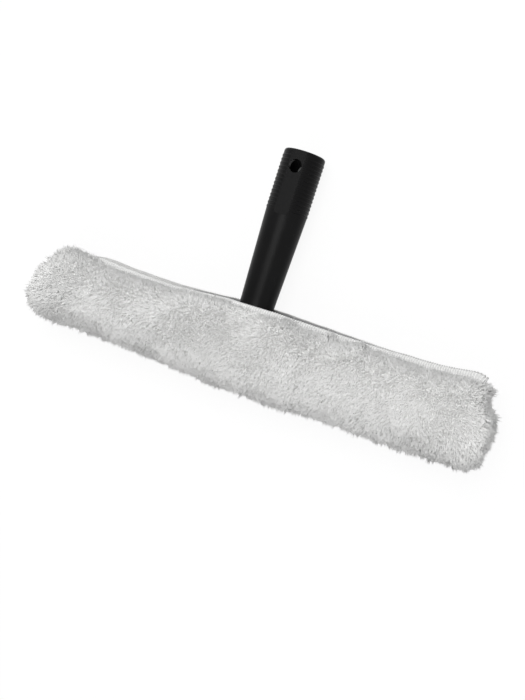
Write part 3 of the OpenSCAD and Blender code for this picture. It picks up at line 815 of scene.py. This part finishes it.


# Painted shade in the slot
# A thin dark grey strip inside the back hem is painted shade for the slot between the two hems. Where the
# sleeve stands open round the handle, it shows over the front hem as a thin dark line.
EDGE_FROM, EDGE_TO = -50.0, 96.0
EDGE_H = 2.4
EDGE_T = 0.5
EDGE_ROUND = 0.12
EDGE_OFF = 0.25    # off the threads of the back hem
EDGE_SHOWS = 0.55
EDGE_FADE = 30
EDGE_CUT = [(0, -EDGE_H), (0, -0.15), (EDGE_ROUND, 0),
            (EDGE_T - EDGE_ROUND, 0), (EDGE_T, -0.15), (EDGE_T, -EDGE_H)]
edge_points, edge_faces = [], []
edge_steps = np.linspace(EDGE_FROM, EDGE_TO, 120)
for x in edge_steps:
    foot = hem_line(1, x)
    front = foot[1] - HEM_T / 2 - THREAD_R - EDGE_OFF - EDGE_T
    fade = min(1.0, (x - EDGE_FROM) / EDGE_FADE, (EDGE_TO - x) / EDGE_FADE)
    high = foot[2] + HEM_H - 0.7 + EDGE_SHOWS * math.sin(math.pi / 2 * max(0.0, fade))
    edge_points += [(x, front + y, high + z) for y, z in EDGE_CUT]
for i in range(len(edge_steps) - 1):
    for j in range(6):
        k = (j + 1) % 6
        edge_faces.append((i * 6 + j, i * 6 + k, (i + 1) * 6 + k, (i + 1) * 6 + j))
edge_faces.append(tuple(reversed(range(6))))
edge_faces.append(tuple(range(len(edge_points) - 6, len(edge_points))))
# Flat dark grey: painted shade for the slot between the hems, not a colour of the cloth
painted_shade_grey = finish("painted_shade_grey", (0.20, 0.20, 0.20), (0.28, 0.28, 0.28), (0.8, 0.95),
                      0.003, 0.0006, 0.0002)
backing_edge = shown("backing_edge", mesh_of("backing_edge", edge_points, edge_faces), painted_shade_grey)
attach(backing_edge, "root")


# Closure strips
# Hook strips on the front hem and loop strips on the back one, sewn behind the tapes on both sides
# of the handle. The hooks hold the loops, so the sleeve's top is closed there.
STRIP_X = HEM_MEET + 2
STRIP_LEN = HALF_HEM - 4 - STRIP_X
STRIP_T = 1.1
STRIP_H = 9.0
STRIP_Z = HEM_LOW + HEM_H - 2 - STRIP_H
STRIP_OFF = 0.05   # from the tool's middle plane
FACE_IN = 0.08     # from the strip's faces in to the middle of their ribs
RIB = 0.07


def strip_mesh(name, end, side):
    """Woven strip with a softly ribbed face."""
    points, faces = [], []
    columns, rows = 74, 8
    for layer in (0, 1):
        for i in range(columns + 1):
            for j in range(rows + 1):
                x = end * (STRIP_X + STRIP_LEN * i / columns)
                rib = 0.0
                if 0 < i < columns and 0 < j < rows:
                    rib = RIB if (i + j) % 2 else -RIB
                y = side * (STRIP_OFF + (FACE_IN if layer == 0 else STRIP_T - FACE_IN))
                y += side * (rib if layer else -rib)
                points.append(settle(x, y, STRIP_Z + STRIP_H * j / rows))
    n, half = rows + 1, (columns + 1) * (rows + 1)
    for i in range(columns):
        for j in range(rows):
            f = (i * n + j, (i + 1) * n + j, (i + 1) * n + j + 1, i * n + j + 1)
            faces += [f, tuple(half + v for v in reversed(f))]
    loop = ([i * n for i in range(columns)] + [columns * n + j for j in range(rows)]
            + [i * n + rows for i in range(columns, 0, -1)] + [j for j in range(rows, 0, -1)])
    for a, b in zip(loop, loop[1:] + loop[:1]):
        faces.append((b, a, half + a, half + b))
    if end * side > 0:
        faces = [tuple(reversed(f)) for f in faces]
    return mesh_of(name, points, faces, smooth=False)


hook_nylon = finish("hook_nylon", (0.70, 0.70, 0.68), (0.78, 0.78, 0.76), (0.45, 0.6),
                    0.002, 0.0006, 0.0002)
loop_nylon = finish("loop_nylon", (0.76, 0.76, 0.74), (0.84, 0.84, 0.82), (0.8, 0.92),
                    0.002, 0.0006, 0.0002, Sheen_Weight=0.2)
for family, side, material in (("hook", -1, hook_nylon), ("loop", 1, loop_nylon)):
    for label, end in (("left", -1), ("right", 1)):
        name = f"{family}_strip_{label}"
        strip = shown(f"{name}_tape", strip_mesh(f"{name}_tape", end, side), material)
        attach(strip, "root")
        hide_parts(name)


# Floor and light
# A pale floor that the camera sees white, with the tool's soft shadow on it. A large soft lamp
# stands before the sleeve, and weaker ones below it, to its right and at its upper left, and the
# world gives the rest evenly.
FLOOR_PALE = (0.93, 0.93, 0.93)
SEEN_WHITE = 0.9     # share of plain white in what the camera sees of the floor
WORLD_LEVEL = 0.42   # what the world gives to the object, and the camera sees it at 1
LAMPS = [("key", (80, -1050, 300), 7.6, 0.7),
         ("fill", (-50, -700, -900), 3.4, 0.9),
         ("side", (1100, -500, -300), 2.0, 1.2),
         ("top", (-800, -700, 800), 4.4, 1.2)]


def bright_to_camera(tree):
    """1 for what the camera sees directly, in a mirror or through glass."""
    rays = add(tree, "ShaderNodeLightPath")
    seen, mirrored, through = (rays.outputs[f"Is {kind} Ray"]
                               for kind in ("Camera", "Glossy", "Transmission"))
    first = add(tree, "ShaderNodeMath", {0: seen, 1: mirrored}, operation="MAXIMUM")
    return add(tree, "ShaderNodeMath", {0: first.outputs[0], 1: through}, operation="MAXIMUM").outputs[0]


floor_pale = bpy.data.materials.new("floor_pale")
floor_pale.use_nodes = True
tree = floor_pale.node_tree
tree.nodes.remove(tree.nodes["Principled BSDF"])
share = add(tree, "ShaderNodeMath", {0: bright_to_camera(tree), 1: SEEN_WHITE}, operation="MULTIPLY")
matt = add(tree, "ShaderNodeBsdfDiffuse", {"Color": (*FLOOR_PALE, 1)})
white = add(tree, "ShaderNodeEmission", {"Color": (1, 1, 1, 1), "Strength": 1.0})
mixed = add(tree, "ShaderNodeMixShader", {0: share.outputs[0], 1: matt.outputs[0], 2: white.outputs[0]})
tree.links.new(mixed.outputs[0], tree.nodes["Material Output"].inputs["Surface"])
bpy.ops.mesh.primitive_plane_add(size=8)
floor = bpy.context.object
floor.name = "floor"
floor.location.z = -0.0003
floor.data.materials.append(floor_pale)

world = bpy.data.worlds.new("studio")
world.use_nodes = True
bpy.context.scene.world = world
tree = world.node_tree
level = add(tree, "ShaderNodeMapRange",
            {"Value": bright_to_camera(tree), "To Min": WORLD_LEVEL, "To Max": 1.0})
tree.links.new(level.outputs[0], tree.nodes["Background"].inputs["Strength"])
tree.nodes["Background"].inputs["Color"].default_value = (1, 1, 1, 1)

for name, place, watts, width in LAMPS:
    lamp = bpy.data.lights.new(name, "AREA")
    lamp.energy, lamp.size = watts, width
    lit = bpy.data.objects.new(name, lamp)
    lit.location = at(*place)
    lit.rotation_euler = (at(0, 0, 30) - lit.location).to_track_quat("-Z", "Y").to_euler()
    bpy.context.scene.collection.objects.link(lit)


# Camera
# It looks at the tool's front from a little to the right of the handle, turned so that the bar
# slopes down to the right, as in the photograph.
AZIMUTH, ELEVATION, ROLL = math.radians(17), math.radians(3.5), math.radians(17.9)
DISTANCE = 705
LOOKS_AT = (14.2, 0, 2)
LENS_PX, LONG_SIDE_PX = 993, 700
out = (ALONG * (math.sin(AZIMUTH) * math.cos(ELEVATION))
       - BACK * (math.cos(AZIMUTH) * math.cos(ELEVATION)) + UP * math.sin(ELEVATION))
right = (-out).cross(UP).normalized()
top = right.cross(-out)
right, top = (math.cos(ROLL) * right + math.sin(ROLL) * top,
              -math.sin(ROLL) * right + math.cos(ROLL) * top)
camera = bpy.data.objects.new("camera", bpy.data.cameras.new("camera"))
camera.data.sensor_width = 36
camera.data.lens = camera.data.sensor_width * LENS_PX / LONG_SIDE_PX
camera.matrix_world = Matrix.Translation(at(*LOOKS_AT) + out * DISTANCE / 1000) @ Matrix(
    (right, top, out)).transposed().to_4x4()
bpy.context.scene.collection.objects.link(camera)
bpy.context.scene.camera = camera
bpy.context.scene.view_settings.view_transform = "Standard"
